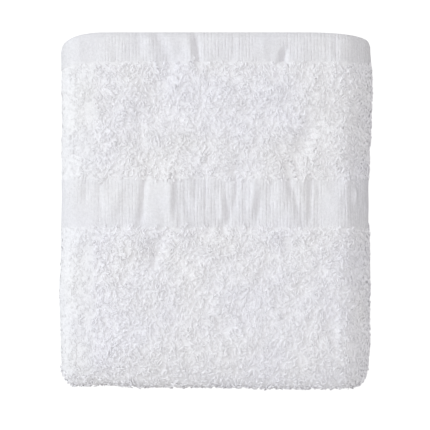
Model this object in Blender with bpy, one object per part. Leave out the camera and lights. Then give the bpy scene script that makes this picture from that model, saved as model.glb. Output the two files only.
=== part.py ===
"""A white terry hand towel, folded for a shelf.

The cloth is made flat, at the size it was cut to, and then folded as a person folds it: in half and in
half again across its length, and then in thirds across its width, with both outer thirds turned under.
The result lies on its turned-under thirds, with one hemmed end and its woven border uppermost.

Frame: metres, +Z up, origin at the middle of the face that it lies on, +X to the right across the towel,
+Y towards the hemmed end, at the back. Flat cloth: u runs across it from its middle, v along it from the
hemmed end that shows, and w through its thickness, positive on the face that shows.
"""

import math

import bmesh
import bpy
from mathutils import Vector

# The cut cloth, flat.
TOWEL_WIDTH = 0.406
TOWEL_LENGTH = 0.660
TERRY_THICK = 0.0023
HEM_THICK = 0.0016
BORDER_THICK = 0.0012
SELVEDGE_THICK = 0.0014

# Where the flat woven bands lie, measured from each end of the cloth, and how wide its selvedges are.
HEM_LENGTH = 0.0136
BORDER_START = 0.0688
BORDER_LENGTH = 0.0222
SELVEDGE_WIDTH = 0.0060
PILE_STEP = 0.0008

# The gaps between the folded layers, and where the free ends and edges stop.
LAYER_GAP = 0.0004
BUNDLE_GAP = 0.0007
SHOWN_END_OVERHANG = 0.0010
HIDDEN_END_REACH = 0.0028
INNER_EDGE_TUCK = 0.0020
UNDER_EDGE_INSET = 0.0110

# How finely the cloth is divided: on its flat runs, next to its folds, and round the folds.
FLAT_STEP = 0.0250
SHOULDER_STEP = 0.0080
TIGHT_FOLD_STEPS = 5
WIDE_FOLD_STEPS = 9

# How the stack settles. Its waves and its crown grow with height, so it keeps a flat underside.
CROWN = 0.0012
WAVES = (
    # height of the wave, waves across the width, waves along the length, phase in radians
    (0.0006, 0.8, 0.6, 0.4),
    (0.0004, 0.3, 1.3, 2.1),
    (0.0003, 1.4, 0.9, 4.0),
)
DROOPS = (
    # the edge's direction in X, in Y, how far the top falls towards it, how far in the fall starts
    (0, -1, 0.0018, 0.0280),
    (0, -1, 0.0030, 0.0120),
    (-1, 0, 0.0024, 0.0320),
    (1, 0, 0.0010, 0.0300),
    (1, 0, 0.0014, 0.0120),
    (0, 1, 0.0006, 0.0200),
)
BULGES = (
    # the edge's direction in X, in Y, where its bulge is along it, the bulge's reach, how far it stands
    # out, or in where that is below zero
    (-1, 0, -0.0420, 0.0400, 0.0010),
    (1, 0, 0.0560, 0.0300, 0.0012),
    (1, 0, 0.0040, 0.0300, -0.0004),
    (1, 0, -0.0800, 0.0220, -0.0008),
    (0, -1, 0.0400, 0.0500, 0.0008),
    (0, -1, -0.0540, 0.0200, -0.0010),
)
FRONT_SETBACK = 0.0026
BACK_SETBACK = 0.0006
CORNER_FADE = 4.0
CORNERS = (
    # side in X, end in Y, how far the rounding reaches across, how far it reaches along
    (-1, 1, 0.0200, 0.0080),
    (1, 1, 0.0300, 0.0044),
    (-1, -1, 0.0075, 0.0075),
    (1, -1, 0.0070, 0.0070),
)

COTTON_WHITE = (0.86, 0.86, 0.87, 1.0)
COTTON_ROUGHNESS = 0.95

HALF_TURN = math.pi

# First fold, across the length: four layers, a layer pitch apart.
LAYER_PITCH = TERRY_THICK + LAYER_GAP
OUTER_FOLD_RADIUS = 1.5 * LAYER_PITCH
INNER_FOLD_RADIUS = 0.5 * LAYER_PITCH
BUNDLE_THICK = TERRY_THICK + 3 * LAYER_PITCH
SHOWN_END_REACH = INNER_FOLD_RADIUS + TERRY_THICK / 2 + SHOWN_END_OVERHANG
LAYER_SPAN = (
    TOWEL_LENGTH
    - HALF_TURN * (OUTER_FOLD_RADIUS + 2 * INNER_FOLD_RADIUS)
    - SHOWN_END_REACH
    - HIDDEN_END_REACH
) / 4
FOLDED_LENGTH = LAYER_SPAN + SHOWN_END_REACH + OUTER_FOLD_RADIUS + TERRY_THICK / 2

# Second fold, across the width: three bundles of four layers, a bundle pitch apart.
BUNDLE_PITCH = BUNDLE_THICK + BUNDLE_GAP
LEFT_FOLD_RADIUS = 0.5 * BUNDLE_PITCH
RIGHT_FOLD_RADIUS = BUNDLE_PITCH
LEFT_SIDE = LEFT_FOLD_RADIUS + BUNDLE_THICK / 2
RIGHT_SIDE = RIGHT_FOLD_RADIUS + BUNDLE_THICK / 2
UNDER_EDGE_REACH = LEFT_SIDE - UNDER_EDGE_INSET
BUNDLE_SPAN = (
    TOWEL_WIDTH
    - HALF_TURN * (LEFT_FOLD_RADIUS + RIGHT_FOLD_RADIUS)
    + INNER_EDGE_TUCK
    - UNDER_EDGE_REACH
) / 3
FOLDED_WIDTH = BUNDLE_SPAN + LEFT_SIDE + RIGHT_SIDE
FOLDED_HEIGHT = BUNDLE_THICK + 2 * BUNDLE_PITCH

# Each section is a row of straight runs that end in folds: the run's length, the fold's radius at the
# middle of what is folded, its turn in radians, positive to the left, and the steps round it. Both
# sections start heading backwards along their first axis.
HEADING_BACKWARDS = HALF_TURN
CROSSWISE_SECTION = (
    (LAYER_SPAN + SHOWN_END_REACH, OUTER_FOLD_RADIUS, HALF_TURN, WIDE_FOLD_STEPS),
    (LAYER_SPAN, INNER_FOLD_RADIUS, HALF_TURN, TIGHT_FOLD_STEPS),
    (LAYER_SPAN, INNER_FOLD_RADIUS, -HALF_TURN, TIGHT_FOLD_STEPS),
    (LAYER_SPAN + HIDDEN_END_REACH, 0.0, 0.0, 0),
)
CROSSWISE_START = (FOLDED_LENGTH / 2, BUNDLE_THICK - TERRY_THICK / 2)
LENGTHWISE_SECTION = (
    (BUNDLE_SPAN - INNER_EDGE_TUCK, LEFT_FOLD_RADIUS, -HALF_TURN, WIDE_FOLD_STEPS),
    (BUNDLE_SPAN, RIGHT_FOLD_RADIUS, -HALF_TURN, WIDE_FOLD_STEPS),
    (BUNDLE_SPAN + UNDER_EDGE_REACH, 0.0, 0.0, 0),
)
LENGTHWISE_START = (
    FOLDED_WIDTH / 2 - RIGHT_SIDE - INNER_EDGE_TUCK,
    BUNDLE_PITCH + BUNDLE_THICK / 2,
)


def point_on_section(section, start, along, offset):
    """The point that lies along a section from its start, and offset to the left of the way it heads."""
    place = Vector(start)
    heading = HEADING_BACKWARDS
    for run, radius, turn, _ in section:
        ahead = Vector((math.cos(heading), math.sin(heading)))
        left = Vector((-ahead.y, ahead.x))
        if along <= run or turn == 0.0:
            return place + ahead * along + left * offset
        along -= run
        side = math.copysign(1.0, turn)
        centre = place + ahead * run + left * side * radius
        turned = heading + turn * min(along / (radius * abs(turn)), 1.0)
        outwards = Vector((math.sin(turned), -math.cos(turned))) * side
        if along <= radius * abs(turn):
            return centre + outwards * (radius - side * offset)
        place = centre + outwards * radius
        along -= radius * abs(turn)
        heading += turn
    raise ValueError("the cloth is longer than its section")


def fold_crosswise(v, w):
    """First fold. Gives a point's Y, and its height in the bundle of four layers."""
    return point_on_section(CROSSWISE_SECTION, CROSSWISE_START, v, -w)


def fold_lengthwise(u, height):
    """Second fold. Gives a point's X and Z, from its place across the cloth and its height in the bundle."""
    along = u + TOWEL_WIDTH / 2
    offset = height - BUNDLE_THICK / 2
    return point_on_section(LENGTHWISE_SECTION, LENGTHWISE_START, along, offset)


def smooth_step(value, start, end):
    share = min(max((value - start) / (end - start), 0.0), 1.0)
    return share * share * (3.0 - 2.0 * share)


def inside_edge(x, y, edge_x, edge_y):
    """How far a point lies inside the edge of the stack that faces this way."""
    half = FOLDED_WIDTH / 2 if edge_x else FOLDED_LENGTH / 2
    return half - (edge_x * x + edge_y * y)


def rounded_corners(x, y):
    """Draws the ends of the stack in towards its corners, each along an ellipse as its row says."""
    for side, end, across, along in CORNERS:
        share = min(max(1.0 - inside_edge(x, y, side, 0) / across, 0.0), 1.0)
        drawn_in = along * (1.0 - math.sqrt(1.0 - share * share))
        y -= end * drawn_in * (1.0 - smooth_step(inside_edge(x, y, 0, end), 0.0, CORNER_FADE * along))
    return x, y


def bulged(x, y):
    """Lets the edges stand out a little, unevenly, where their rows say."""
    for edge_x, edge_y, place, reach, height in BULGES:
        aside = abs((y if edge_x else x) - place)
        outward = 1.0 - smooth_step(inside_edge(x, y, edge_x, edge_y), 0.0, reach)
        bulge = height * outward * (1.0 - smooth_step(aside, 0.0, reach))
        x += edge_x * bulge
        y += edge_y * bulge
    return x, y


def settle(x, y, z):
    """The soft shape of the stack: a crown, waves, edges that fall away, and thirds that sit back below."""
    across, along, up = 2 * x / FOLDED_WIDTH, 2 * y / FOLDED_LENGTH, z / FOLDED_HEIGHT
    lift = CROWN * (1.0 - across * across) * (1.0 - along * along)
    for height, waves_x, waves_y, phase in WAVES:
        lift += height * math.sin(math.pi * (waves_x * across + waves_y * along) + phase)
    for edge_x, edge_y, fall, reach in DROOPS:
        lift -= fall * (1.0 - smooth_step(inside_edge(x, y, edge_x, edge_y), 0.0, reach))
    setback = FRONT_SETBACK if along < 0.0 else BACK_SETBACK
    x, y = bulged(*rounded_corners(x, y))
    y -= math.copysign(setback * along * along * (1.0 - up), along)
    return Vector((x, y, z + lift * up))


def thickness_at(u, v):
    """The cloth's thickness: the loops stop at the hems, at the borders and at the selvedges."""
    from_end = min(v, TOWEL_LENGTH - v)
    from_edge = TOWEL_WIDTH / 2 - abs(u)
    border_end = BORDER_START + BORDER_LENGTH
    pile = smooth_step(from_end, HEM_LENGTH, HEM_LENGTH + PILE_STEP)
    thick = HEM_THICK + (TERRY_THICK - HEM_THICK) * pile
    in_border = smooth_step(from_end, BORDER_START - PILE_STEP, BORDER_START)
    in_border -= smooth_step(from_end, border_end, border_end + PILE_STEP)
    thick += (BORDER_THICK - TERRY_THICK) * in_border
    inside = smooth_step(from_edge, SELVEDGE_WIDTH, SELVEDGE_WIDTH + PILE_STEP)
    return min(thick, SELVEDGE_THICK + (TERRY_THICK - SELVEDGE_THICK) * inside)


def section_stations(section):
    """Where a section is divided: close to each fold, evenly between, and evenly round the folds."""
    stations, start = [], 0.0
    for run, radius, turn, fold_steps in section:
        middle = run - 2 * SHOULDER_STEP
        count = round(middle / FLAT_STEP)
        stations += [start]
        stations += [start + SHOULDER_STEP + middle * i / count for i in range(count + 1)]
        start += run
        fold_length = radius * abs(turn)
        stations += [start + fold_length * i / fold_steps for i in range(fold_steps)]
        start += fold_length
    return stations[1:]


def with_edges(stations, edges):
    """The stations with the cloth's own edges put in, each taking the place of those close to it."""
    kept = [s for s in stations if all(abs(s - e) > SHOULDER_STEP / 2 for e in edges)]
    return sorted(kept + list(edges))


def length_stations():
    band_edges = []
    for place in (HEM_LENGTH, BORDER_START - PILE_STEP, BORDER_START + BORDER_LENGTH):
        band_edges += [place, place + PILE_STEP]
    band_edges += [TOWEL_LENGTH - place for place in band_edges]
    return with_edges(section_stations(CROSSWISE_SECTION), band_edges)


def width_stations():
    edge = TOWEL_WIDTH / 2 - SELVEDGE_WIDTH
    selvedges = [-edge, PILE_STEP - edge, edge - PILE_STEP, edge]
    across = [s - TOWEL_WIDTH / 2 for s in section_stations(LENGTHWISE_SECTION)]
    return with_edges(across, selvedges)


def flat_cloth():
    """The cloth as a flat slab one unit thick, cut across at every station.

    Its length runs towards the front once it is folded, so the slab is mirrored here to come out right.
    """
    mesh = bmesh.new()
    bmesh.ops.create_cube(mesh, size=1.0)
    for vert in mesh.verts:
        vert.co.x *= TOWEL_WIDTH
        vert.co.y = (0.5 - vert.co.y) * TOWEL_LENGTH
    cuts = [(Vector((u, 0, 0)), Vector((1, 0, 0))) for u in width_stations()]
    cuts += [(Vector((0, v, 0)), Vector((0, 1, 0))) for v in length_stations()]
    for place, across in cuts:
        everything = mesh.verts[:] + mesh.edges[:] + mesh.faces[:]
        bmesh.ops.bisect_plane(mesh, geom=everything, plane_co=place, plane_no=across)
    return mesh


def folded_towel():
    mesh = flat_cloth()
    for vert in mesh.verts:
        u, v, face = vert.co
        y, height = fold_crosswise(v, face * thickness_at(u, v))
        x, z = fold_lengthwise(u, height)
        vert.co = settle(x, y, z)
    return mesh


def terry_cotton():
    material = bpy.data.materials.new("white_terry_cotton")
    material.use_nodes = True
    shader = material.node_tree.nodes["Principled BSDF"]
    shader.inputs["Base Color"].default_value = COTTON_WHITE
    shader.inputs["Roughness"].default_value = COTTON_ROUGHNESS
    shader.inputs["Metallic"].default_value = 0.0
    return material


def main():
    for old in list(bpy.data.objects):
        bpy.data.objects.remove(old)
    collection = bpy.data.collections.new("hand_towel")
    bpy.context.scene.collection.children.link(collection)
    mesh = folded_towel()
    data = bpy.data.meshes.new("towel")
    mesh.to_mesh(data)
    mesh.free()
    data.materials.append(terry_cotton())
    data.shade_smooth()
    towel = bpy.data.objects.new("towel", data)
    collection.objects.link(towel)


main()
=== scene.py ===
"""The looks of a white terry hand towel, folded for a shelf.

One fine cloth replaces the towel's plain solid. It repeats the solid's folds from the same named sizes,
and adds the woven ribs and the soft puckers of the flat bands. Its pile is made of real yarn loops.

Frame: metres, +Z up, +X to the right across the towel, +Y towards the hemmed end, at the back. Flat
cloth: u runs across it from its middle, v along it from the hemmed end that shows, and w through its
thickness, positive on the face that shows.
"""

import math

import bpy
import numpy as np
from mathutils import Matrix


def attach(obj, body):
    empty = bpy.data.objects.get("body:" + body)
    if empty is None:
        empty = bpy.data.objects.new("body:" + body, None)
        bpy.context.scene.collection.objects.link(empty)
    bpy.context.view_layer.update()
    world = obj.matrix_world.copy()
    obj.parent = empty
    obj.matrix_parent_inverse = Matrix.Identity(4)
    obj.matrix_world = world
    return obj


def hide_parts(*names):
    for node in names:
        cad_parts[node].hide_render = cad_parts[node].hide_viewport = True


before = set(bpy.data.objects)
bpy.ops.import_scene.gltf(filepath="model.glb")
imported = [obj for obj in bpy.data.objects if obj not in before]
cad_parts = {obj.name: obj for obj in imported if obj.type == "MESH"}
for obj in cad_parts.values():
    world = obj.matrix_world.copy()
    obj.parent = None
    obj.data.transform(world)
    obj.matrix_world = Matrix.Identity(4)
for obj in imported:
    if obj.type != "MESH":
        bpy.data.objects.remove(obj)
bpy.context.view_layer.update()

BODY = "root"
CAD_NODE = "towel"
BAKE_MAP = "OFBake"
WEAVE_MAP = "weave"

# The cut cloth, flat, and the solid's thickness, which holds the pile of both faces.
TOWEL_WIDTH = 0.406
TOWEL_LENGTH = 0.660
TERRY_THICK = 0.0023

# The cloth's own thickness, without its pile, and how its edges are rounded down to their thinnest.
GROUND_THICK = 0.0009
HEM_THICK = 0.0017
BORDER_THICK = 0.0012
SELVEDGE_THICK = 0.0014
EDGE_ROUNDING = 0.0008
THINNEST = 0.0001

# Where the flat woven bands lie, measured from each end of the cloth, how wide its selvedges are, and
# how far its thickness takes to change beside them.
HEM_LENGTH = 0.0136
BORDER_START = 0.0688
BORDER_LENGTH = 0.0222
BORDER_END = BORDER_START + BORDER_LENGTH
SELVEDGE_WIDTH = 0.0060
PILE_STEP = 0.0008

# The folds, as in the solid: four layers to a bundle and three bundles, the gaps between them, and
# where the free ends and edges stop.
LAYERS = 4
BUNDLES = 3
LAYER_GAP = 0.0004
BUNDLE_GAP = 0.0007
SHOWN_END_OVERHANG = 0.0010
HIDDEN_END_REACH = 0.0028
INNER_EDGE_TUCK = 0.0020
UNDER_EDGE_INSET = 0.0110

# The soft shape of the stack, as in the solid.
CROWN = 0.0012
WAVES = (
    # height of the wave, waves across the width, waves along the length, phase in radians
    (0.0006, 0.8, 0.6, 0.4),
    (0.0004, 0.3, 1.3, 2.1),
    (0.0003, 1.4, 0.9, 4.0),
)
DROOPS = (
    # the edge's direction in X, in Y, how far the top falls towards it, how far in the fall starts
    (0, -1, 0.0018, 0.0280),
    (0, -1, 0.0030, 0.0120),
    (-1, 0, 0.0024, 0.0320),
    (1, 0, 0.0010, 0.0300),
    (1, 0, 0.0014, 0.0120),
    (0, 1, 0.0006, 0.0200),
)
BULGES = (
    # the edge's direction in X, in Y, where its bulge is along it, the bulge's reach, how far it stands
    # out, or in where that is below zero
    (-1, 0, -0.0420, 0.0400, 0.0010),
    (1, 0, 0.0560, 0.0300, 0.0012),
    (1, 0, 0.0040, 0.0300, -0.0004),
    (1, 0, -0.0800, 0.0220, -0.0008),
    (0, -1, 0.0400, 0.0500, 0.0008),
    (0, -1, -0.0540, 0.0200, -0.0010),
)
FRONT_SETBACK = 0.0026
BACK_SETBACK = 0.0006

# A corner's rounding fades out over this many times its own reach along the towel.
CORNER_FADE = 4.0
CORNERS = (
    # side in X, end in Y, how far the rounding reaches across, how far it reaches along
    (-1, 1, 0.0200, 0.0080),
    (1, 1, 0.0300, 0.0044),
    (-1, -1, 0.0075, 0.0075),
    (1, -1, 0.0070, 0.0070),
)

QUARTER_TURN = math.pi / 2
HALF_TURN = math.pi
FULL_TURN = 2 * math.pi

# A fold's radius is half of the distance between the layers, or the bundles, that it joins.
LAYER_PITCH = TERRY_THICK + LAYER_GAP
OUTER_FOLD_RADIUS = 1.5 * LAYER_PITCH
INNER_FOLD_RADIUS = 0.5 * LAYER_PITCH
BUNDLE_THICK = TERRY_THICK + (LAYERS - 1) * LAYER_PITCH
SHOWN_END_REACH = INNER_FOLD_RADIUS + TERRY_THICK / 2 + SHOWN_END_OVERHANG
LAYER_SPAN = (
    TOWEL_LENGTH
    - HALF_TURN * (OUTER_FOLD_RADIUS + 2 * INNER_FOLD_RADIUS)
    - SHOWN_END_REACH
    - HIDDEN_END_REACH
) / LAYERS
FOLDED_LENGTH = LAYER_SPAN + SHOWN_END_REACH + OUTER_FOLD_RADIUS + TERRY_THICK / 2
BUNDLE_PITCH = BUNDLE_THICK + BUNDLE_GAP
LEFT_FOLD_RADIUS = 0.5 * BUNDLE_PITCH
RIGHT_FOLD_RADIUS = BUNDLE_PITCH
LEFT_SIDE = LEFT_FOLD_RADIUS + BUNDLE_THICK / 2
RIGHT_SIDE = RIGHT_FOLD_RADIUS + BUNDLE_THICK / 2
UNDER_EDGE_REACH = LEFT_SIDE - UNDER_EDGE_INSET
BUNDLE_SPAN = (
    TOWEL_WIDTH
    - HALF_TURN * (LEFT_FOLD_RADIUS + RIGHT_FOLD_RADIUS)
    + INNER_EDGE_TUCK
    - UNDER_EDGE_REACH
) / BUNDLES
FOLDED_WIDTH = BUNDLE_SPAN + LEFT_SIDE + RIGHT_SIDE
FOLDED_HEIGHT = BUNDLE_THICK + (BUNDLES - 1) * BUNDLE_PITCH

# Each section is a row of straight runs that end in folds: the run's length, the fold's radius at the
# middle of what is folded, and its turn in radians, positive to the left. Both start heading backwards
# along their first axis.
HEADING_BACKWARDS = HALF_TURN
CROSSWISE_SECTION = (
    (LAYER_SPAN + SHOWN_END_REACH, OUTER_FOLD_RADIUS, HALF_TURN),
    (LAYER_SPAN, INNER_FOLD_RADIUS, HALF_TURN),
    (LAYER_SPAN, INNER_FOLD_RADIUS, -HALF_TURN),
    (LAYER_SPAN + HIDDEN_END_REACH, 0.0, 0.0),
)
CROSSWISE_START = (FOLDED_LENGTH / 2, BUNDLE_THICK - TERRY_THICK / 2)
LENGTHWISE_SECTION = (
    (BUNDLE_SPAN - INNER_EDGE_TUCK, LEFT_FOLD_RADIUS, -HALF_TURN),
    (BUNDLE_SPAN, RIGHT_FOLD_RADIUS, -HALF_TURN),
    (BUNDLE_SPAN + UNDER_EDGE_REACH, 0.0, 0.0),
)
LENGTHWISE_START = (
    FOLDED_WIDTH / 2 - RIGHT_SIDE - INNER_EDGE_TUCK,
    BUNDLE_PITCH + BUNDLE_THICK / 2,
)

# Where the folds lie along the cloth, and across it.
FRONT_FOLD = LAYER_SPAN + SHOWN_END_REACH
FRONT_FOLD_END = FRONT_FOLD + HALF_TURN * OUTER_FOLD_RADIUS
BACK_FOLD = FRONT_FOLD_END + LAYER_SPAN
BACK_FOLD_END = BACK_FOLD + HALF_TURN * INNER_FOLD_RADIUS
LEFT_FOLD = BUNDLE_SPAN - INNER_EDGE_TUCK - TOWEL_WIDTH / 2
LEFT_FOLD_END = LEFT_FOLD + HALF_TURN * LEFT_FOLD_RADIUS
RIGHT_FOLD = LEFT_FOLD_END + BUNDLE_SPAN
RIGHT_FOLD_END = RIGHT_FOLD + HALF_TURN * RIGHT_FOLD_RADIUS

# The flat bands' warp ribs, with a narrow groove between each two. Every groove has a depth of its own,
# and fades and deepens along its length.
RIB_PITCH = 0.0016
GROOVE_DEPTH = 0.00045
GROOVE_SHARPNESS = 4
GROOVE_EVENNESS = (0.40, 0.95)
GROOVE_KINDS = 512
GROOVE_LENGTH = 0.0013
GROOVE_FADING = 0.4
RIB_WANDER = 0.00016
RIB_WANDER_LENGTH = 0.0045
RIB_WANDER_SHIFT = 2.0
RIB_WANDER_WIDTH = 0.0041

# The ribs are softer on the left. They all but vanish in smooth patches, and come back between two
# shares of a patch's reach.
SOFT_RIBS_END = -0.0250
FIRM_RIBS_START = -0.0050
SOFT_RIB_SHARE = 0.55
SMOOTH_PATCH_FADE = (0.4, 1.4)
SMOOTH_PATCHES = (
    # across the top from its middle, along from the end, reach across, reach along
    (-0.0615, 0.0860, 0.0060, 0.0070),
    (-0.0255, 0.0790, 0.0055, 0.0140),
    (0.0185, 0.0740, 0.0018, 0.0090),
    (0.0540, 0.0800, 0.0048, 0.0120),
    (-0.0620, 0.0060, 0.0090, 0.0100),
    (-0.0180, 0.0060, 0.0050, 0.0100),
    (0.0240, 0.0060, 0.0060, 0.0100),
)

# The cloth sags a little at both its ends, over the folds below them.
END_FALL = 0.0019
END_FALL_REACH = 0.0022

# How finely the cloth is divided, across it and then along it, and how far in from its edges the
# closest places lie.
STEPS_IN_RIB = 6
FINE_STEP = RIB_PITCH / STEPS_IN_RIB
COARSE_STEP = 2 * RIB_PITCH
BAND_ROW = 0.0017
SHOWN_ROW = 0.0030
HIDDEN_ROW = 0.0080
WIDE_FOLD_ROWS = 12
TIGHT_FOLD_ROWS = 6
EDGE_STEPS = (0.0, 0.00012, 0.0004, 0.0008)

# The soft troughs and ridges of the cloth.
PUCKERS = (
    # across the top from its middle, along from the end, reach across, reach along, slant, height
    # broad ones, in the pile and across the border
    (-0.0265, 0.0330, 0.0085, 0.0160, 0.00, -0.00110),
    (-0.0346, 0.0450, 0.0040, 0.0110, 0.00, -0.00060),
    (-0.0270, 0.1030, 0.0042, 0.0080, -0.30, -0.00170),
    (0.0034, 0.0460, 0.0032, 0.0090, 0.00, 0.00050),
    (-0.0205, 0.0790, 0.0070, 0.0140, 0.00, 0.00130),
    (-0.0110, 0.0790, 0.0100, 0.0140, 0.00, 0.00070),
    (-0.0600, 0.0740, 0.0040, 0.0055, 0.00, -0.00030),
    (0.0088, 0.0660, 0.0015, 0.0045, 0.00, -0.00120),
    (0.0038, 0.0920, 0.0024, 0.0035, 0.00, -0.00110),
    (0.0400, 0.0560, 0.0060, 0.0130, -0.35, -0.00150),
    (0.0479, 0.0920, 0.0024, 0.0090, 0.10, -0.00060),
    (0.0600, 0.0550, 0.0055, 0.0110, 0.00, 0.00130),
    (0.0488, 0.0790, 0.0080, 0.0130, 0.00, -0.00120),
    (0.0600, 0.0790, 0.0050, 0.0120, 0.00, 0.00040),
    (0.0550, 0.1430, 0.0030, 0.0120, 0.20, -0.00080),
    # on the border
    (-0.0605, 0.0771, 0.0016, 0.0060, 0.10, -0.00025),
    (-0.0575, 0.0780, 0.0022, 0.0100, 0.00, 0.00022),
    (-0.0539, 0.0755, 0.0012, 0.0090, 0.05, -0.00050),
    (-0.0490, 0.0800, 0.0030, 0.0120, 0.00, 0.00020),
    (-0.0425, 0.0790, 0.0012, 0.0080, 0.05, -0.00018),
    (-0.0365, 0.0790, 0.0035, 0.0120, 0.00, 0.00035),
    (-0.0338, 0.0782, 0.0017, 0.0125, -0.12, -0.00120),
    (-0.0280, 0.0800, 0.0030, 0.0120, 0.00, 0.00024),
    (-0.0211, 0.0775, 0.0022, 0.0130, 0.00, 0.00090),
    (-0.0189, 0.0750, 0.0014, 0.0095, -0.05, -0.00060),
    (-0.0166, 0.0870, 0.0010, 0.0070, 0.00, -0.00040),
    (-0.0140, 0.0760, 0.0010, 0.0080, 0.04, -0.00025),
    (-0.0098, 0.0770, 0.0009, 0.0090, -0.03, -0.00025),
    (-0.0046, 0.0780, 0.0009, 0.0110, 0.02, -0.00030),
    (0.0027, 0.0800, 0.0013, 0.0080, 0.02, 0.00050),
    (0.0058, 0.0850, 0.0013, 0.0060, 0.12, -0.00080),
    (0.0096, 0.0750, 0.0013, 0.0085, -0.10, -0.00080),
    (0.0137, 0.0800, 0.0010, 0.0120, 0.00, -0.00028),
    (0.0176, 0.0750, 0.0014, 0.0085, -0.12, 0.00055),
    (0.0200, 0.0810, 0.0013, 0.0060, -0.10, -0.00045),
    (0.0250, 0.0800, 0.0009, 0.0110, 0.00, -0.00022),
    (0.0290, 0.0770, 0.0018, 0.0070, -0.10, 0.00040),
    (0.0318, 0.0790, 0.0035, 0.0110, 0.00, 0.00050),
    (0.0340, 0.0690, 0.0015, 0.0070, 0.15, -0.00120),
    (0.0375, 0.0800, 0.0011, 0.0070, 0.08, -0.00070),
    (0.0398, 0.0850, 0.0009, 0.0060, 0.00, -0.00030),
    (0.0440, 0.0785, 0.0012, 0.0110, -0.03, -0.00090),
    (0.0477, 0.0725, 0.0009, 0.0055, 0.03, -0.00028),
    (0.0622, 0.0790, 0.0016, 0.0110, 0.00, 0.00050),
    (0.0662, 0.0765, 0.0013, 0.0038, 0.06, 0.00150),
    # on the hem
    (-0.0464, 0.0120, 0.0018, 0.0050, 0.10, -0.00050),
    (-0.0355, 0.0060, 0.0022, 0.0060, 0.00, -0.00050),
    (-0.0300, 0.0080, 0.0024, 0.0080, 0.20, 0.00050),
    (-0.0237, 0.0090, 0.0028, 0.0090, 0.40, -0.00110),
    (-0.0122, 0.0090, 0.0024, 0.0085, 0.10, 0.00070),
    (-0.0086, 0.0090, 0.0020, 0.0085, 0.10, -0.00115),
    (-0.0086, 0.0115, 0.0010, 0.0060, 0.10, -0.00060),
    (0.0086, 0.0060, 0.0014, 0.0060, 0.00, -0.00040),
    (0.0226, 0.0075, 0.0020, 0.0055, 0.00, 0.00050),
    (0.0314, 0.0122, 0.0018, 0.0042, -0.20, -0.00260),
    (0.0338, 0.0040, 0.0009, 0.0040, 0.00, -0.00015),
    (0.0520, 0.0080, 0.0010, 0.0070, 0.00, -0.00030),
    (0.0560, 0.0080, 0.0010, 0.0070, 0.02, -0.00030),
)

# What shapes the top alone dies away round the side folds. The swellings die away at its ends too.
SIDE_FADE = 0.006
SWELL_FADE = 0.012
SWELLS = (
    # low swellings of the shown layer: lengths of the waves across and along, their phases, height
    (0.0210, 0.0330, 0.4, 2.2, 0.00036),
    (0.0130, 0.0170, 2.9, 0.7, 0.00020),
    (0.0470, 0.0240, 1.3, 5.1, 0.00036),
)

# The edges of the pile next to the flat bands wander.
HEM_PILE_GAP = 0.0013
BORDER_PILE_GAP = 0.0005
PILE_EDGE_RAGGED = 0.0010
PILE_EDGE_WAVES = (
    # height, length of the wave, phase
    (0.00050, 0.0310, 0.6),
    (0.00030, 0.0087, 2.4),
)

# The pile: loops of yarn that stand on the cloth and lie over, mostly along it. Each is a row of rings.
PILE_SEED = 20
LOOP_PITCH = 0.00111
SPARSE_PITCH = 0.0030
LOOP_JITTER = 0.42
ROW_STARTS = (0.25, 0.75)
LOOP_LENGTH = 0.0019
PRESSED_LENGTH = 0.0016
LOOP_UNEVENNESS = 0.18
LOOP_SPREAD = (0.0005, 0.0009)
LOOP_LEAN = (1.14, 1.46)
PRESSED_LEAN = (1.48, 1.56)
LOOP_KINDS = {
    # how the loops lie: their pitch, their length, how far they lean, and the bulk that their yarn keeps
    "full": (LOOP_PITCH, LOOP_LENGTH, LOOP_LEAN, 1.0),
    "upright": (1.1 * LOOP_PITCH, LOOP_LENGTH, (1.10, 1.42), 1.0),
    "loose": (1.2 * LOOP_PITCH, LOOP_LENGTH, (1.05, 1.40), 1.0),
    "creased": (1.5 * LOOP_PITCH, LOOP_LENGTH, PRESSED_LEAN, 1.0),
    "half pressed": (LOOP_PITCH, LOOP_LENGTH, (1.38, 1.53), 0.55),
    "pressed": (LOOP_PITCH, PRESSED_LENGTH, PRESSED_LEAN, 0.4),
    "sparse": (SPARSE_PITCH, LOOP_LENGTH, LOOP_LEAN, 1.0),
    "flattened": (SPARSE_PITCH, LOOP_LENGTH, PRESSED_LEAN, 0.7),
}
PRESSED_PIECE = "pile_left_side"

# How far loops stray from leaning straight along the cloth, and how far they twist, in radians, and how
# far their tips curl aside, as a share of half their length.
LOOP_STRAY = 0.90
LOOP_TWIST = 1.0
LOOP_CURL = 0.6

# A loop's form: the power that rounds its tip, how far its legs stand apart at the feet and how much more
# further up, as shares of its spread, how much less they lean at the feet, and how deep the feet go.
LOOP_ROUNDNESS = 0.8
LEGS_APART = 0.5
TIP_WIDENING = 0.25
FOOT_UPRIGHTNESS = 0.65
FOOT_DEPTH = 0.0003

# The yarn: its radius, how much wider it is than high, and the rings in a loop and corners in a ring.
YARN_SIZE = (0.00018, 0.00026)
YARN_WIDE = 1.35
RINGS = 6
RING_SIDES = 3

# The margin round a loop's cell on its map, and how far apart the cloth's slope is measured.
CELL_MARGIN = 0.02
SLOPE_STEP = 0.0002

# How far pieces of pile reach: over the edges of the bands, out of sight behind the left fold, past the
# left fold on the top, under the front fold, and before and past the back folds.
BAND_OVERRUN = 0.0020
HIDDEN_MARGIN = 0.0140
HALF_PRESSED_REACH = 0.0060
FRONT_REACH = 0.0060
BACK_REACH = (0.0040, 0.0030)


# ---------------------------------------------------------------- folding


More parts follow.
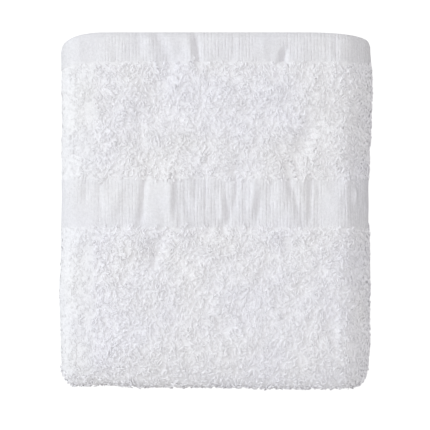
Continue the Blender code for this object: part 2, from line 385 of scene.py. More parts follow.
def place_on_section(section, start, along, offset):
    """Points that lie along a section from its start, offset to the left of the way it heads."""
    points = np.zeros((len(along), 2))
    place = np.array(start)
    heading = HEADING_BACKWARDS
    begin = 0.0
    for run, radius, turn in section:
        ahead = np.array((math.cos(heading), math.sin(heading)))
        left = np.array((-ahead[1], ahead[0]))
        here = along >= begin
        points[here] = place + np.outer(along[here] - begin, ahead) + np.outer(offset[here], left)
        if turn == 0.0:
            break
        side = math.copysign(1.0, turn)
        begin += run
        centre = place + ahead * run + left * side * radius
        here = along >= begin
        turned = heading + side * (along[here] - begin) / radius
        outwards = side * np.stack((np.sin(turned), -np.cos(turned)), axis=1)
        points[here] = centre + outwards * (radius - side * offset[here])[:, None]
        begin += radius * abs(turn)
        heading += turn
        place = centre + side * radius * np.array((math.sin(heading), -math.cos(heading)))
    return points


def smooth_step(value, start, end):
    """Rises softly from nothing at the start to one at the end."""
    share = np.clip((value - start) / (end - start), 0.0, 1.0)
    return share * share * (3.0 - 2.0 * share)


def inside_edge(x, y, edge_x, edge_y):
    """How far points lie inside the edge of the stack that faces this way."""
    half = FOLDED_WIDTH / 2 if edge_x else FOLDED_LENGTH / 2
    return half - (edge_x * x + edge_y * y)


def rounded_corners(x, y):
    """Draws the ends of the stack in towards its corners, each along an ellipse as its row says."""
    for side, end, across, along in CORNERS:
        share = np.clip(1.0 - inside_edge(x, y, side, 0) / across, 0.0, 1.0)
        drawn_in = along * (1.0 - np.sqrt(1.0 - share * share))
        near_end = 1.0 - smooth_step(inside_edge(x, y, 0, end), 0.0, CORNER_FADE * along)
        y = y - end * drawn_in * near_end
    return y


def bulged(x, y):
    """Lets the edges stand out a little, unevenly, where their rows say."""
    for edge_x, edge_y, place, reach, height in BULGES:
        aside = np.abs((y if edge_x else x) - place)
        outward = 1.0 - smooth_step(inside_edge(x, y, edge_x, edge_y), 0.0, reach)
        bulge = height * outward * (1.0 - smooth_step(aside, 0.0, reach))
        x = x + edge_x * bulge
        y = y + edge_y * bulge
    return x, y


def settle(x, y, z):
    """The soft shape of the stack: a crown, waves, falling edges, and thirds that sit back below."""
    across = 2 * x / FOLDED_WIDTH
    along = 2 * y / FOLDED_LENGTH
    up = z / FOLDED_HEIGHT
    lift = CROWN * (1.0 - across * across) * (1.0 - along * along)
    for height, waves_x, waves_y, phase in WAVES:
        lift += height * np.sin(HALF_TURN * (waves_x * across + waves_y * along) + phase)
    for edge_x, edge_y, fall, reach in DROOPS:
        lift -= fall * (1.0 - smooth_step(inside_edge(x, y, edge_x, edge_y), 0.0, reach))
    setback = np.where(along < 0.0, FRONT_SETBACK, BACK_SETBACK)
    x, y = bulged(x, rounded_corners(x, y))
    y = y - np.sign(along) * setback * along * along * (1.0 - up)
    return np.stack((x, y, z + lift * up), axis=1)


def folded(u, v, w):
    """Where points of the flat cloth lie once it is folded and settled."""
    w = w + puckered(u, v) + swollen(u, v)
    shown_end = 1.0 - smooth_step(v, 0.0, END_FALL_REACH)
    hidden_end = 1.0 - smooth_step(TOWEL_LENGTH - v, 0.0, END_FALL_REACH)
    w = w + END_FALL * (hidden_end - shown_end) * share_on_top(u)
    y, height = place_on_section(CROSSWISE_SECTION, CROSSWISE_START, v, -w).T
    from_left = u + TOWEL_WIDTH / 2
    outside = height - BUNDLE_THICK / 2
    x, z = place_on_section(LENGTHWISE_SECTION, LENGTHWISE_START, from_left, outside).T
    return settle(x, y, z)


# ------------------------------------------------------- the cloth's own form


def outer_length(height):
    """Matches places across the cloth with lengths on the folded stack, at a height in its bundles.

    Gives both as rising tables, the lengths counted from the middle of the top.
    """
    outside = height - BUNDLE_THICK / 2
    places = [-TOWEL_WIDTH / 2, LEFT_FOLD, LEFT_FOLD_END, RIGHT_FOLD, RIGHT_FOLD_END, TOWEL_WIDTH / 2]
    stretch = [1.0, 1.0 + outside / LEFT_FOLD_RADIUS, 1.0, 1.0 + outside / RIGHT_FOLD_RADIUS, 1.0]
    lengths = np.concatenate(([0.0], np.cumsum(np.diff(places) * stretch)))
    top_middle = LEFT_FOLD_END + FOLDED_WIDTH / 2 - LEFT_SIDE
    return np.array(places), lengths - np.interp(top_middle, places, lengths)


TOP_PLACES, TOP_LENGTHS = outer_length(BUNDLE_THICK)


def across_top(u):
    """The length on the outermost surface from the middle of the top."""
    return np.interp(u, TOP_PLACES, TOP_LENGTHS)


def share_on_top(u):
    """One on the top of the stack, and down to nothing round the folds at its sides."""
    past_left = smooth_step(u, LEFT_FOLD, LEFT_FOLD_END + SIDE_FADE)
    return past_left * (1.0 - smooth_step(u, RIGHT_FOLD - SIDE_FADE, RIGHT_FOLD_END))


def puckered(u, v):
    """The soft troughs and ridges that the tighter flat bands draw the cloth into, on the shown layer."""
    across = across_top(u)
    height = np.zeros_like(across)
    for place, along, reach, reach_along, slant, rise in PUCKERS:
        past = (v - along) / reach_along
        aside = (across - place - slant * (v - along)) / reach
        height += rise * np.exp(-aside * aside - past * past * past * past)
    return height


def swollen(u, v):
    """The low, broad unevenness of the shown layer, which dies away towards its ends and its folds."""
    across = across_top(u)
    past_end = smooth_step(v, 0.0, SWELL_FADE)
    before_front = 1.0 - smooth_step(v, FRONT_FOLD - SWELL_FADE, FRONT_FOLD)
    height = np.zeros_like(across)
    for wave_across, wave_along, phase_across, phase_along, rise in SWELLS:
        ripple = np.sin(FULL_TURN * across / wave_across + phase_across)
        height += rise * ripple * np.sin(FULL_TURN * v / wave_along + phase_along + ripple)
    return height * past_end * before_front * share_on_top(u)


def pile_edge(u):
    """How far the pile stops short of a flat band, or reaches over its edge, across the cloth."""
    across = across_top(u)
    reach = np.zeros_like(across)
    for height, length, phase in PILE_EDGE_WAVES:
        reach += height * np.sin(FULL_TURN * across / length + phase)
    return reach


def from_nearest_end(v):
    """The distance along the cloth from the nearer of its two ends."""
    return np.minimum(v, TOWEL_LENGTH - v)


def in_bands(from_end):
    """The share of the hem, and of the border, in what the cloth is at these distances from an end."""
    in_hem = 1.0 - smooth_step(from_end, HEM_LENGTH, HEM_LENGTH + PILE_STEP)
    past_start = smooth_step(from_end, BORDER_START - PILE_STEP, BORDER_START)
    past_end = smooth_step(from_end, BORDER_END, BORDER_END + PILE_STEP)
    return in_hem, past_start - past_end


def cloth_thickness(u, v):
    """The cloth without its pile: its ground, its thicker bands and selvedges, and its rounded edges."""
    from_end = from_nearest_end(v)
    from_edge = TOWEL_WIDTH / 2 - np.abs(u)
    in_hem, in_border = in_bands(from_end)
    thick = GROUND_THICK + (HEM_THICK - GROUND_THICK) * in_hem
    thick += (BORDER_THICK - GROUND_THICK) * in_border
    in_selvedge = 1.0 - smooth_step(from_edge, SELVEDGE_WIDTH, SELVEDGE_WIDTH + PILE_STEP)
    thick = np.maximum(thick, SELVEDGE_THICK * in_selvedge)
    inside = np.clip(np.minimum(from_end, from_edge) / EDGE_ROUNDING, 0.0, 1.0)
    return THINNEST + thick * np.sqrt(1.0 - (1.0 - inside) ** 2)


def rib_firmness(across, along):
    """The share of their full depth that grooves have here: they are soft on the left, and in patches."""
    to_right = smooth_step(across, SOFT_RIBS_END, FIRM_RIBS_START)
    firm = SOFT_RIB_SHARE + (1.0 - SOFT_RIB_SHARE) * to_right
    for place, from_end, reach, reach_along in SMOOTH_PATCHES:
        far = np.hypot((across - place) / reach, (along - from_end) / reach_along)
        firm = firm * smooth_step(far, *SMOOTH_PATCH_FADE)
    return firm


def grooves(u, v, random):
    """How deep the grooves between the warp ribs are: narrow, uneven, and coming and going along them."""
    across = across_top(u)
    rib = across / RIB_PITCH
    number = np.round(rib).astype(int)
    narrow = (1.0 - 2.0 * np.abs(rib - number)) ** GROOVE_SHARPNESS
    kind = number % GROOVE_KINDS
    evenness = random.uniform(*GROOVE_EVENNESS, GROOVE_KINDS)[kind]
    phase = random.uniform(0.0, FULL_TURN, GROOVE_KINDS)[kind]
    fading = 1.0 - GROOVE_FADING + GROOVE_FADING * np.sin(v / GROOVE_LENGTH + phase)
    return GROOVE_DEPTH * rib_firmness(across, v) * evenness * fading * narrow


def wander(u, v):
    """How far ribs stray to the side: in slow waves along them, which shift from rib to rib."""
    shift = RIB_WANDER_SHIFT * np.sin(across_top(u) / RIB_WANDER_WIDTH)
    return RIB_WANDER * np.sin(v / RIB_WANDER_LENGTH + shift)


# ------------------------------------------------------------ mesh making


def divided(start, end, step):
    """Evenly spaced places from start, up to but without end."""
    count = max(1, round((end - start) / step))
    return [start + (end - start) * i / count for i in range(count)]


def cloth_rows():
    """The rows along the cloth, and whether each is finely divided across it."""
    far = TOWEL_LENGTH
    inner_fold = BACK_FOLD_END + LAYER_SPAN
    inner_fold_end = inner_fold + HALF_TURN * INNER_FOLD_RADIUS
    wide_fold_row = (FRONT_FOLD_END - FRONT_FOLD) / WIDE_FOLD_ROWS
    tight_fold_row = (BACK_FOLD_END - BACK_FOLD) / TIGHT_FOLD_ROWS
    stretches = (
        # where it ends, the step between its rows, finely divided across; it starts where the last ends
        (HEM_LENGTH, BAND_ROW, True),
        (HEM_LENGTH + PILE_STEP, PILE_STEP, True),
        (BORDER_START - PILE_STEP, SHOWN_ROW, False),
        (BORDER_START, PILE_STEP, False),
        (BORDER_END, BAND_ROW, True),
        (BORDER_END + PILE_STEP, PILE_STEP, True),
        (FRONT_FOLD, SHOWN_ROW, False),
        (FRONT_FOLD_END, wide_fold_row, False),
        (BACK_FOLD, HIDDEN_ROW, False),
        (BACK_FOLD_END, tight_fold_row, False),
        (inner_fold, HIDDEN_ROW, False),
        (inner_fold_end, tight_fold_row, False),
        (far - BORDER_END - PILE_STEP, HIDDEN_ROW, False),
        (far - BORDER_END, PILE_STEP, False),
        (far - BORDER_START, HIDDEN_ROW, False),
        (far - BORDER_START + PILE_STEP, PILE_STEP, False),
        (far - HEM_LENGTH - PILE_STEP, HIDDEN_ROW, False),
        (far - HEM_LENGTH, PILE_STEP, False),
        (far - EDGE_STEPS[-1], HIDDEN_ROW, False),
    )
    rows = [(v, True) for v in EDGE_STEPS[:-1]]
    start = EDGE_STEPS[-1]
    for end, step, is_fine in stretches:
        rows += [(v, is_fine) for v in divided(start, end, step)]
        start = end
    return rows + [(far - v, False) for v in reversed(EDGE_STEPS)]


def cloth_columns():
    """Places across the cloth: coarse ones, finer ones, and the finer steps that each coarse one takes.

    They are even on the outermost surface, on whole ribs. Only what shows is divided more finely.
    """
    first = TOP_LENGTHS[0]
    last = TOP_LENGTHS[-1]
    edge = np.array(EDGE_STEPS)
    ribs = COARSE_STEP * np.arange(math.ceil(first / COARSE_STEP), math.ceil(last / COARSE_STEP))
    ribs = ribs[(ribs > first + 2 * edge[-1]) & (ribs < last - 2 * edge[-1])]
    coarse = np.concatenate((first + edge, ribs, last - edge[::-1]))
    shown = coarse[:-1] > across_top(LEFT_FOLD - HIDDEN_MARGIN)
    steps = np.where(shown, np.maximum(np.round(np.diff(coarse) / FINE_STEP), 1), 1).astype(int)
    fine = [divided(a, b, (b - a) / n) for a, b, n in zip(coarse, coarse[1:], steps)]
    fine = np.concatenate((*fine, [last]))
    coarse_places = np.interp(coarse, TOP_LENGTHS, TOP_PLACES)
    fine_places = np.interp(fine, TOP_LENGTHS, TOP_PLACES)
    return coarse_places, fine_places, steps


def faces_between(first, second, steps):
    """Faces between two rows of points. Where one row alone is fine, a face spans a whole coarse step."""
    if len(first) == len(second):
        return [(a, b, d, c) for a, b, c, d in zip(first, first[1:], second, second[1:])]
    ends = np.cumsum(steps)
    faces = []
    for i, (start, end) in enumerate(zip(ends - steps, ends)):
        lower = first[start : end + 1] if len(first) > len(second) else first[i : i + 2]
        upper = second[start : end + 1] if len(second) > len(first) else second[i : i + 2]
        faces.append((*lower, *reversed(upper)))
    return faces


CLOTH_MAP = {
    # part of the cloth: where it starts on the map, and how it runs there with the places across the
    # cloth, along it and through it
    "shown face": ((0.01, 0.10), (0.48, 0.00), (0.00, 0.89), (0.00, 0.00)),
    "back face": ((0.51, 0.10), (0.48, 0.00), (0.00, 0.89), (0.00, 0.00)),
    "shown end": ((0.01, 0.01), (0.98, 0.00), (0.00, 0.00), (0.00, 0.01)),
    "hidden end": ((0.01, 0.03), (0.98, 0.00), (0.00, 0.00), (0.00, 0.01)),
    "first selvedge": ((0.01, 0.05), (0.00, 0.00), (0.98, 0.00), (0.00, 0.01)),
    "second selvedge": ((0.01, 0.07), (0.00, 0.00), (0.98, 0.00), (0.00, 0.01)),
}
SHOWN_SHARE_OF_MAP = 0.7


def corners_of(faces):
    """The numbers of the points at the faces' corners, in one row."""
    return np.concatenate([np.asarray(face) for face in faces])


def on_cloth_map(part, corners, u, v, through):
    """Where a part's corners lie on the map, which gives most of its length to the layer that shows."""
    start, across, along, thick = (np.array(pair) for pair in CLOTH_MAP[part])
    whole_width = TOP_LENGTHS[-1] - TOP_LENGTHS[0]
    share_across = (across_top(u[corners]) - TOP_LENGTHS[0]) / whole_width
    places = (0.0, FRONT_FOLD_END, TOWEL_LENGTH)
    share_along = np.interp(v[corners], places, (0.0, SHOWN_SHARE_OF_MAP, 1.0))
    place = start + np.outer(share_across, across) + np.outer(share_along, along)
    return place + np.outer(through[corners], thick)


def add_map(mesh, name, places):
    """Lays a mesh's corners out on a map of this name."""
    layer = mesh.uv_layers.new(name=name)
    layer.data.foreach_set("uv", places.astype(np.float32).ravel())


def under_pile(v):
    """Whether loops stand on this part of the cloth's length."""
    from_end = from_nearest_end(v)
    return (from_end > HEM_LENGTH) & ((from_end < BORDER_START) | (from_end > BORDER_END))


def make_cloth(band_material, base_material, random):
    """The whole towel as one closed sheet: two faces, joined at its ends and its selvedges."""
    coarse, fine, steps = cloth_columns()
    u, v, outward = [], [], []
    numbers = {1: [], -1: []}
    count = 0
    for side in (1, -1):
        for along, is_fine in cloth_rows():
            across = fine if is_fine and side > 0 else coarse
            u.append(across)
            v.append(np.full(len(across), along))
            outward.append(np.full(len(across), side))
            numbers[side].append(range(count, count + len(across)))
            count += len(across)
    u, v, outward = (np.concatenate(rows) for rows in (u, v, outward))
    in_band = np.where(outward > 0, sum(in_bands(v)), 0.0)
    w = outward * cloth_thickness(u, v) / 2 - in_band * grooves(u, v, random)
    inside = np.minimum(TOWEL_WIDTH / 2 - np.abs(u), EDGE_ROUNDING) / EDGE_ROUNDING
    points = folded(u + in_band * inside * wander(u, v), v, w)

    shown = numbers[1]
    back = numbers[-1]
    first_edges = [[row[0] for row in face] for face in (shown, back)]
    last_edges = [[row[-1] for row in face] for face in (back, shown)]
    parts = {
        "shown face": [f for a, b in zip(shown, shown[1:]) for f in faces_between(a, b, steps)],
        "back face": [f for a, b in zip(back, back[1:]) for f in faces_between(b, a, steps)],
        "shown end": faces_between(back[0], shown[0], steps),
        "hidden end": faces_between(shown[-1], back[-1], steps),
        "first selvedge": faces_between(*first_edges, steps),
        "second selvedge": faces_between(*last_edges, steps),
    }
    faces = [face for part in parts.values() for face in part]
    piece = new_piece("towel_cloth", points, faces, band_material)
    piece.data.materials.append(base_material)
    rows = np.array([(face[0], face[-1]) for face in faces])
    is_base = under_pile(v[rows].mean(axis=1))
    piece.data.polygons.foreach_set("material_index", is_base.astype(np.int32))
    through = (outward + 1) / 2
    bake_map = [on_cloth_map(name, corners_of(part), u, v, through) for name, part in parts.items()]
    corners = corners_of(faces)
    add_map(piece.data, BAKE_MAP, np.concatenate(bake_map))
    add_map(piece.data, WEAVE_MAP, np.stack((across_top(u), v), axis=1)[corners])
    return piece


def new_piece(name, points, faces, material):
    """A mesh of its own in the scene."""
    mesh = bpy.data.meshes.new(name)
    mesh.from_pydata(points, [], faces)
    mesh.materials.append(material)
    piece = bpy.data.objects.new(name, mesh)
    bpy.context.scene.collection.objects.link(piece)
    return piece


# ------------------------------------------------------------------ pile


def loop_places(first, last, low, high, pitch, random):
    """Places on the shown face for loops, a little uneven, and evenly spread over the folded surface.

    first and last are lengths along the cloth, low and high places across it.
    """
    on_face = np.array([GROUND_THICK / 2])
    jitter = pitch * LOOP_JITTER
    places = []
    for n, v in enumerate(np.arange(first, last, pitch)):
        height = place_on_section(CROSSWISE_SECTION, CROSSWISE_START, np.array([v]), -on_face)[0, 1]
        table_u, table_length = outer_length(height)
        begin, end = np.interp((low, high), table_u, table_length)
        lengths = np.arange(begin + pitch * ROW_STARTS[n % 2], end, pitch)
        lengths = lengths + jitter * random.uniform(-1, 1, len(lengths))
        along = v + jitter * random.uniform(-1, 1, len(lengths))
        places.append(np.stack((np.interp(lengths, table_length, table_u), along), axis=1))
    places = np.concatenate(places)
    edge = pile_edge(places[:, 0]) + PILE_EDGE_RAGGED * random.uniform(-1, 1, len(places))
    v = places[:, 1]
    above = (v > HEM_LENGTH + HEM_PILE_GAP + edge) & (v < BORDER_START - BORDER_PILE_GAP + edge)
    return places[above | (v > BORDER_END + BORDER_PILE_GAP + edge)]


def unit(vectors):
    """The same directions, one long."""
    return vectors / np.linalg.norm(vectors, axis=-1, keepdims=True)


def surface_frames(u, v):
    """Points on the ground of the shown face, and the directions across, along and out of it there."""
    w = np.full_like(u, GROUND_THICK / 2)
    across = unit(folded(u + SLOPE_STEP, v, w) - folded(u - SLOPE_STEP, v, w))
    along = folded(u, v + SLOPE_STEP, w) - folded(u, v - SLOPE_STEP, w)
    out = unit(np.cross(along, across))
    return folded(u, v, w), across, np.cross(across, out), out


def loop_lines(places, length, lean, bulk, random):
    """The middle line of every loop: up from one foot, over, and down to the other foot.

    A loop leans one way or the other along the cloth, and its two legs turn round each other. The less
    bulk it keeps, the flatter its legs lie too, and the nearer to the cloth's face its tip comes out.
    """
    count = len(places)
    here, across, along, out = surface_frames(places[:, 0], places[:, 1])
    length = length * np.exp(random.normal(0.0, LOOP_UNEVENNESS, (count, 1)))
    spread = random.uniform(*LOOP_SPREAD, (count, 1))
    lean = random.uniform(*lean, (count, 1))
    heading = random.choice((-1, 1), (count, 1)) * QUARTER_TURN
    heading = heading + random.normal(0.0, LOOP_STRAY, (count, 1))
    turn = heading + QUARTER_TURN + random.normal(0.0, LOOP_STRAY, (count, 1))
    twist = LOOP_TWIST * random.uniform(-1, 1, (count, 1))
    curl = LOOP_CURL * random.uniform(-1, 1, (count, 1))
    angle = np.linspace(0.0, HALF_TURN, RINGS)
    rise = np.sin(angle) ** LOOP_ROUNDNESS
    apart = -np.cos(angle) * (LEGS_APART + TIP_WIDENING * np.sin(angle)) * spread
    swing = turn + twist * rise
    lean_here = lean * (1.0 - FOOT_UPRIGHTNESS * bulk * (1.0 - rise))
    over = length * rise * np.sin(lean_here)
    aside = curl * rise * rise * length / 2
    up = length * rise * np.cos(lean_here) - FOOT_DEPTH * (1.0 - (1.0 - bulk) * rise)
    to_right = apart * np.cos(swing) + over * np.cos(heading) - aside * np.sin(heading)
    to_front = apart * np.sin(swing) + over * np.sin(heading) + aside * np.cos(heading)
    directions = ((to_right, across), (to_front, along), (up, out))
    return here[:, None] + sum(far[..., None] * way[:, None] for far, way in directions), out


def yarn_rings(lines, out, bulk, random):
    """A ring of corners round every point of the loops' middle lines: yarn, pressed more or less flat."""
    tangent = unit(np.gradient(lines, axis=1))
    aside = unit(np.cross(tangent, out[:, None]))
    above = np.cross(aside, tangent)
    corner = FULL_TURN * np.arange(RING_SIDES) / RING_SIDES - QUARTER_TURN
    size = random.uniform(*YARN_SIZE, (len(lines), 1, 1, 1))
    ring = YARN_WIDE * np.cos(corner)[:, None] * aside[:, :, None]
    ring = ring - np.sin(corner)[:, None] * above[:, :, None] * bulk
    return lines[:, :, None] + size * ring


def loop_faces():
    """The faces of one loop: sides between its rings, and a cap on each foot."""
    ring = np.arange(RING_SIDES)
    after = (ring + 1) % RING_SIDES
    band = np.stack((ring, after, after + RING_SIDES, ring + RING_SIDES), axis=1)
    sides = [band + n * RING_SIDES for n in range(RINGS - 1)]
    return np.concatenate(sides), np.stack((ring[::-1], ring + (RINGS - 1) * RING_SIDES))


def loop_map(count):
    """A map that gives each loop a cell of its own, and each of its faces a part of that cell."""
    per_row = math.ceil(math.sqrt(count))
    loop = np.arange(count)
    cells = np.stack((loop % per_row, loop // per_row), axis=1)[:, None, None]
    face = np.arange((RINGS - 1) * RING_SIDES)
    sides = np.stack((face % RING_SIDES, face // RING_SIDES), axis=1)
    caps = np.array(((RING_SIDES, 0), (RING_SIDES, 1)))
    corners = np.array(((0, 0), (1, 0), (1, 1), (0, 1)))
    maps = []
    for parts, count_of_corners in ((sides, len(corners)), (caps, RING_SIDES)):
        in_cell = (parts[None, :, None] + corners[:count_of_corners]) / (RING_SIDES + 1, RINGS - 1)
        in_cell = CELL_MARGIN + (1.0 - 2 * CELL_MARGIN) * in_cell
        maps.append(((cells + in_cell) / per_row).reshape(-1, 2))
    return np.concatenate(maps)


def make_pile(name, zones, material, random):
    """One piece of pile, from its zones: where each lies along and across the cloth, and its kind."""
    loops = []
    for along, across, kind in zones:
        pitch, length, lean, bulk = LOOP_KINDS[kind]
        places = loop_places(*along, *across, pitch, random)
        lines, out = loop_lines(places, length, lean, bulk, random)
        loops.append(yarn_rings(lines, out, bulk, random))
    loops = np.concatenate(loops)
    count = len(loops)
    points = loops.reshape(-1, 3)
    points[:, 2] = np.maximum(points[:, 2], 0.0)
    starts = RINGS * RING_SIDES * np.arange(count)[:, None, None]
    sides, caps = loop_faces()
    sides = (sides + starts).reshape(-1, 4)
    caps = (caps + starts).reshape(-1, RING_SIDES)
    faces = [*sides.tolist(), *caps.tolist()]
    piece = new_piece(name, points, faces, material)
    add_map(piece.data, BAKE_MAP, loop_map(count))
    return piece


def pile_zones():
    """The pieces of pile, each with its zones.

    A zone is a stretch along the cloth, a stretch across it, and its kind of loops.
    """
    above = (HEM_LENGTH - BAND_OVERRUN, BORDER_START + BAND_OVERRUN)
    below = (BORDER_END - BAND_OVERRUN, FRONT_FOLD)
    front = (FRONT_FOLD, FRONT_FOLD_END)
    front_under = (FRONT_FOLD_END, FRONT_FOLD_END + FRONT_REACH)
    back = (BACK_FOLD - BACK_REACH[0], BACK_FOLD_END + BACK_REACH[1])
    selvedge = TOWEL_WIDTH / 2 - SELVEDGE_WIDTH
    everywhere = (-selvedge, selvedge)
    left_under = (LEFT_FOLD - HIDDEN_MARGIN, LEFT_FOLD)
    left = (LEFT_FOLD, LEFT_FOLD_END - HALF_PRESSED_REACH / 2)
    near_left = (left[1], LEFT_FOLD_END + HALF_PRESSED_REACH)
    top_middle = (near_left[1] + RIGHT_FOLD) / 2
    top = (near_left[1], RIGHT_FOLD)
    top_left = (near_left[1], top_middle)
    top_right = (top_middle, RIGHT_FOLD)
    right = (RIGHT_FOLD, RIGHT_FOLD_END)
    under = (RIGHT_FOLD_END, selvedge)
    round_left = ((left_under, "flattened"), (left, "pressed"), (near_left, "half pressed"))
    return {
        "pile_above_border": [(above, top, "full")],
        "pile_below_border_left": [(below, top_left, "full")],
        "pile_below_border_right": [(below, top_right, "full")],
        PRESSED_PIECE: [(along, *strip) for strip in round_left for along in (above, below)],
        "pile_right_side": [(along, right, "upright") for along in (above, below)],
        "pile_underneath": [(along, under, "flattened") for along in (above, below)],
        "pile_front": [(front, everywhere, "loose"), (front_under, everywhere, "sparse")],
        "pile_back": [(back, everywhere, "creased")],
    }


# ------------------------------------------------------------- materials


# White of the flat bands, of the ground under the pile and of its yarn, and a duller white for the pile
# round the left fold: painted shade that keeps that lamp-lit side from turning too bright.
BAND_WHITE = (0.865, 0.856, 0.886)
BASE_WHITE = (0.860, 0.853, 0.875)
YARN_WHITE = (0.925, 0.917, 0.942)
PRESSED_YARN_PAINTED_SHADE_WHITE = (0.852, 0.846, 0.868)

# Broad patches of two tints, a finer mottle, and patches of more and less roughness.
COTTON_TINTS = ((1.0, 0.993, 0.980), (0.990, 0.985, 0.995))
TINT_PATCH = 0.035
SHADE_PATCH = 0.0012
SHADE_RANGE = (0.93, 1.0)
ROUGHNESS_PATCH = 4 * SHADE_PATCH
ROUGHNESS_RANGE = (0.86, 1.0)

# The fine relief of the bands' warp and weft and their slubs, of the ground's nubs, and of the fibres.
WARP_PITCH = 0.00053
WEFT_PITCH = 0.00060
WEAVE_HEIGHT = 0.00006
SLUB_PITCH = 0.0006
SLUB_SHARE = 6.0
NUB_PITCH = 0.0007
NUB_HEIGHT = 0.00030
FIBRE_PITCH = 0.00025
FIBRE_HEIGHT = 0.00003

# The grain of every random pattern, the range that most of it keeps to, and the whole range of a share.
NOISE_DETAIL = 2.0
NOISE_ROUGHNESS = 0.55
NOISE_RANGE = (0.35, 0.65)
WHOLE_RANGE = (0.0, 1.0)

# A mix node's colours share their names with its other sockets, so they go by number.
MIX_COLOURS = (6, 7)
MIX_RESULT = 2


def feed(tree, socket, value):
    """Links another node's output to a socket, or sets the socket to a plain value."""
    if isinstance(value, bpy.types.NodeSocket):
        tree.links.new(value, socket)
    else:
        socket.default_value = value


def add_node(tree, kind, settings=(), **values):
    """A node with its settings, and its named inputs set or linked."""
    node = tree.nodes.new(kind)
    for setting, value in dict(settings).items():
        setattr(node, setting, value)
    for name, value in values.items():
        feed(tree, node.inputs[name.replace("_", " ")], value)
    return node


def noise(tree, place, patch):
    """A soft random pattern with patches of about this size."""
    settings = {"Scale": 1.0 / patch, "Detail": NOISE_DETAIL, "Roughness": NOISE_ROUGHNESS}
    return add_node(tree, "ShaderNodeTexNoise", Vector=place, **settings).outputs["Fac"]


def mapped(tree, value, to_range, from_range=NOISE_RANGE):
    """A value, with one range of it spread over another. Beyond the range it stays at its ends."""
    node = add_node(tree, "ShaderNodeMapRange", Value=value)
    for name, end in zip(("From Min", "From Max", "To Min", "To Max"), (*from_range, *to_range)):
        node.inputs[name].default_value = end
    return node.outputs["Result"]


def maths(tree, operation, *values):
    """One step of arithmetic on up to three values."""
    node = add_node(tree, "ShaderNodeMath", {"operation": operation})
    for socket, value in zip(node.inputs, values):
        feed(tree, socket, value)
    return node.outputs[0]


def mixed(tree, share, first, second, blend="MIX"):
    """Two colours blended by a share."""
    node = add_node(tree, "ShaderNodeMix", {"data_type": "RGBA", "blend_type": blend}, Factor=share)
    for number, colour in zip(MIX_COLOURS, (first, second)):
        feed(tree, node.inputs[number], colour)
    return node.outputs[MIX_RESULT]


def in_space(tree):
    """The place of each point in the towel's own space."""
    return add_node(tree, "ShaderNodeTexCoord").outputs["Object"]


def weave(tree):
    """The fine warp and weft of the flat bands, over and under each other, of slightly uneven yarn."""
    on_cloth = add_node(tree, "ShaderNodeUVMap", {"uv_map": WEAVE_MAP}).outputs["UV"]
    axes = add_node(tree, "ShaderNodeSeparateXYZ", Vector=on_cloth).outputs
    waves = [
        maths(tree, "SINE", maths(tree, "MULTIPLY", axes[axis], FULL_TURN / pitch))
        for axis, pitch in (("X", WARP_PITCH), ("Y", WEFT_PITCH))
    ]
    crossing = maths(tree, "MULTIPLY", *waves)
    return maths(tree, "MULTIPLY_ADD", noise(tree, on_cloth, SLUB_PITCH), SLUB_SHARE, crossing)


def nubs(tree):
    """The close, uneven feet of the pile on its ground."""
    return noise(tree, in_space(tree), NUB_PITCH)


def fibres(tree):
    """The finest roughness of a yarn."""
    return noise(tree, in_space(tree), FIBRE_PITCH)


def cotton(name, white, relief_of, height):
    """White cotton: faint tinted patches, a finer mottle, an uneven dry roughness, and a fine relief."""
    material = bpy.data.materials.new(name)
    material.use_nodes = True
    tree = material.node_tree
    shader = tree.nodes["Principled BSDF"]
    place = in_space(tree)
    tints = [(*(w * c for w, c in zip(white, tint)), 1.0) for tint in COTTON_TINTS]
    patches = mapped(tree, noise(tree, place, TINT_PATCH), WHOLE_RANGE)
    mottle = mapped(tree, noise(tree, place, SHADE_PATCH), SHADE_RANGE)
    colour = mixed(tree, 1.0, mixed(tree, patches, *tints), mottle, "MULTIPLY")
    roughness = mapped(tree, noise(tree, place, ROUGHNESS_PATCH), ROUGHNESS_RANGE)
    relief = add_node(tree, "ShaderNodeBump", Height=relief_of(tree), Distance=height, Strength=1.0)
    tree.links.new(colour, shader.inputs["Base Color"])
    tree.links.new(roughness, shader.inputs["Roughness"])
    tree.links.new(relief.outputs["Normal"], shader.inputs["Normal"])
    return material


# ------------------------------------------------------------ the studio


# The sky: the side it is brightest on, the range of how much a direction faces that side, the share of
# that range over which its strength rises, and its least and greatest strength.
SKY_BRIGHT_SIDE = (-0.04, 0.10, 0.75)
FACING_RANGE = (-1.0, 1.0)
SKY_RISE = (0.15, 1.0)
SKY_STRENGTH = (0.0, 1.25)
SKY_DARK_TINT = (1.0, 1.0, 0.98, 1.0)
SKY_BRIGHT_TINT = (0.985, 0.99, 1.0, 1.0)
KEY_PLACE = (-1.38, 0.28, 0.7)
KEY_SIZE = 0.6
KEY_POWER = 9.5
KEY_TINT = (0.88, 0.96, 1.0)
FLOOR_SIZE = 4.0
FLOOR_CLEARANCE = 0.0002
FLOOR_PAINT = (0.15, 0.15, 0.15, 1.0)
FLOOR_ROUGHNESS = 0.8
FLOOR_GLOW_TINT = (1.0, 1.0, 1.0, 1.0)
FLOOR_GLOW = 0.95


def sky():
    """A soft dome that is brightest and faintly cooler overhead, and falls to dark below."""
    world = bpy.data.worlds.new("studio")
    world.use_nodes = True
    tree = world.node_tree
    direction = add_node(tree, "ShaderNodeTexCoord").outputs["Generated"]
    facing = add_node(tree, "ShaderNodeVectorMath", {"operation": "DOT_PRODUCT"})
    for socket, value in zip(facing.inputs, (direction, SKY_BRIGHT_SIDE)):
        feed(tree, socket, value)
    share = mapped(tree, facing.outputs["Value"], WHOLE_RANGE, FACING_RANGE)
    tint = mixed(tree, share, SKY_DARK_TINT, SKY_BRIGHT_TINT)
    background = tree.nodes["Background"]
    tree.links.new(tint, background.inputs["Color"])
    tree.links.new(mapped(tree, share, SKY_STRENGTH, SKY_RISE), background.inputs["Strength"])
    return world


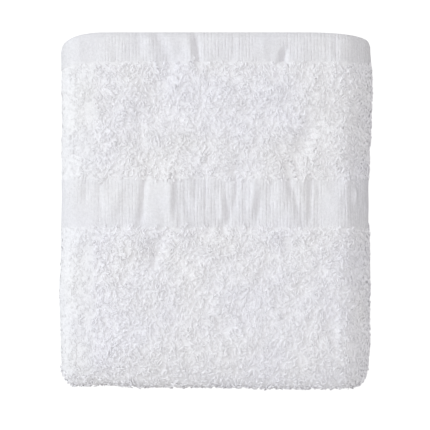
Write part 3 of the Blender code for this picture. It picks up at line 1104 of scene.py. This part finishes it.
def key_lamp():
    """A soft lamp at the side, turned to the towel, which brings out its pile and its creases."""
    data = bpy.data.lights.new("key", "AREA")
    data.shape = "SQUARE"
    data.size = KEY_SIZE
    data.energy = KEY_POWER
    data.color = KEY_TINT
    lamp = bpy.data.objects.new("key", data)
    lamp.location = KEY_PLACE
    x, y, z = KEY_PLACE
    tilt = math.atan2(math.hypot(x, y), z)
    turn = math.atan2(-y, -x) - QUARTER_TURN
    lamp.rotation_euler = (tilt, 0.0, turn)
    bpy.context.scene.collection.objects.link(lamp)


def pale_floor():
    """The white surface that the towel lies on. It adds no light of its own to the towel."""
    bpy.ops.mesh.primitive_plane_add(size=FLOOR_SIZE, location=(0.0, 0.0, -FLOOR_CLEARANCE))
    floor = bpy.context.object
    floor.name = "floor"
    floor.visible_diffuse = False
    material = bpy.data.materials.new("floor")
    material.use_nodes = True
    shader = material.node_tree.nodes["Principled BSDF"]
    shader.inputs["Base Color"].default_value = FLOOR_PAINT
    shader.inputs["Roughness"].default_value = FLOOR_ROUGHNESS
    shader.inputs["Emission Color"].default_value = FLOOR_GLOW_TINT
    shader.inputs["Emission Strength"].default_value = FLOOR_GLOW
    floor.data.materials.append(material)


def studio():
    """The sky, the lamp and the floor."""
    scene = bpy.context.scene
    scene.view_settings.view_transform = "Standard"
    scene.world = sky()
    key_lamp()
    pale_floor()


# The picture's width in pixels, a pixel's size at the towel's outline, the pixel that the towel's middle
# falls on, and the height that its outline is seen at.
FRAME_PIXELS = 430
PIXEL_SIZE = 0.0004692
TOWEL_MIDDLE_PIXEL = (215.6, 210.75)
OUTLINE_HEIGHT = 0.022
LENS = 300.0
SENSOR = 36.0


def camera():
    """Looks straight down on the folded towel, from far enough to show no slant."""
    data = bpy.data.cameras.new("camera")
    data.lens = LENS
    data.sensor_width = SENSOR
    eye = bpy.data.objects.new("camera", data)
    distance = FRAME_PIXELS * PIXEL_SIZE * LENS / SENSOR
    middle = FRAME_PIXELS / 2
    eye.location = (
        (middle - TOWEL_MIDDLE_PIXEL[0]) * PIXEL_SIZE,
        (TOWEL_MIDDLE_PIXEL[1] - middle) * PIXEL_SIZE,
        OUTLINE_HEIGHT + distance,
    )
    bpy.context.scene.collection.objects.link(eye)
    bpy.context.scene.camera = eye


def main():
    """Makes the camera, the studio, the cloth and its pile, puts each piece on the towel's body, and
    hides the plain solid.
    """
    camera()
    studio()
    random = np.random.default_rng(PILE_SEED)
    ground = cotton("terry_cotton_ground", BAND_WHITE, weave, WEAVE_HEIGHT)
    base = cotton("terry_cotton_base", BASE_WHITE, nubs, NUB_HEIGHT)
    cloth = make_cloth(ground, base, random)
    yarn = cotton("terry_cotton_pile", YARN_WHITE, fibres, FIBRE_HEIGHT)
    # The pile round the left fold takes a duller copy of the yarn's white: painted shade on the side that
    # faces the lamp.
    pressed = cotton("terry_cotton_pressed_pile_painted_shade", PRESSED_YARN_PAINTED_SHADE_WHITE, fibres, FIBRE_HEIGHT)
    pile = [
        make_pile(name, zones, pressed if name == PRESSED_PIECE else yarn, random)
        for name, zones in pile_zones().items()
    ]
    for piece in [cloth, *pile]:
        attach(piece, BODY)
    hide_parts(CAD_NODE)


main()
